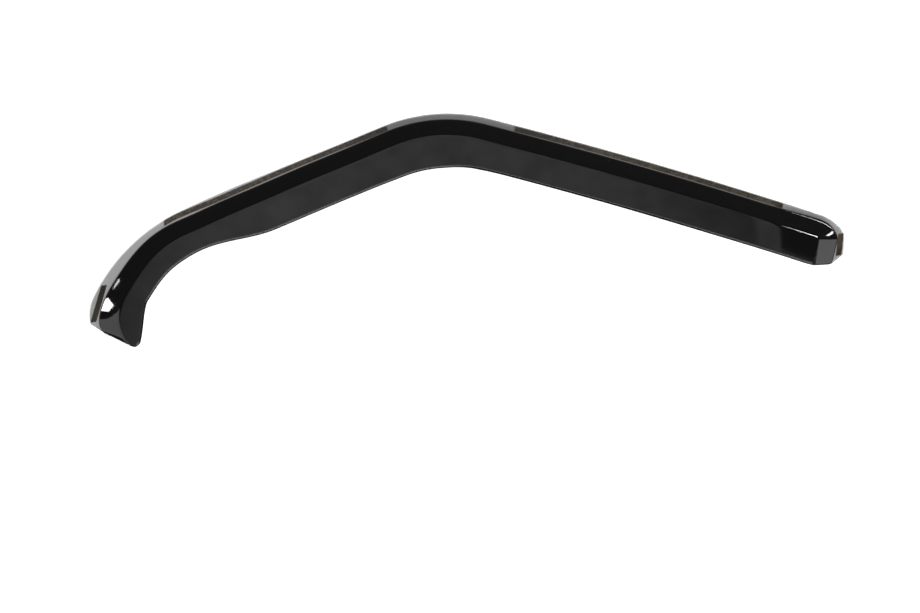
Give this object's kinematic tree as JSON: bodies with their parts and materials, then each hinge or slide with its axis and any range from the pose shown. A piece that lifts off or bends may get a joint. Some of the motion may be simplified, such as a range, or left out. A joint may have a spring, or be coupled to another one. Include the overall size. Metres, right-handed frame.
{
  "type": "window rain deflector",
  "caption": "Smoked acrylic rain deflector for a front side window: a thin stick-on flange, a sloping band and a flat face that follow the bent top of the door frame.",
  "frame": {"origin": "centre of the part's box in plan, at the outer faces of the release liners", "axes": "+X towards the rear end, along the car; +Y up the door, towards the crown and the flange; +Z outward from the door"},
  "size_m": [0.8738, 0.2898, 0.0174],
  "materials": {
    "smoked_acrylic": "gloss",
    "acrylic_foam": "matte",
    "liner_film": "satin"
  },
  "bodies": {
    "root": {"shell": "smoked_acrylic", "tape_rear": "acrylic_foam", "tape_front": "acrylic_foam", "tape_hook": "acrylic_foam", "tape_end": "acrylic_foam", "liner_rear": "liner_film", "liner_front": "liner_film", "liner_hook": "liner_film", "liner_end": "liner_film"}
  },
  "joints": []
}
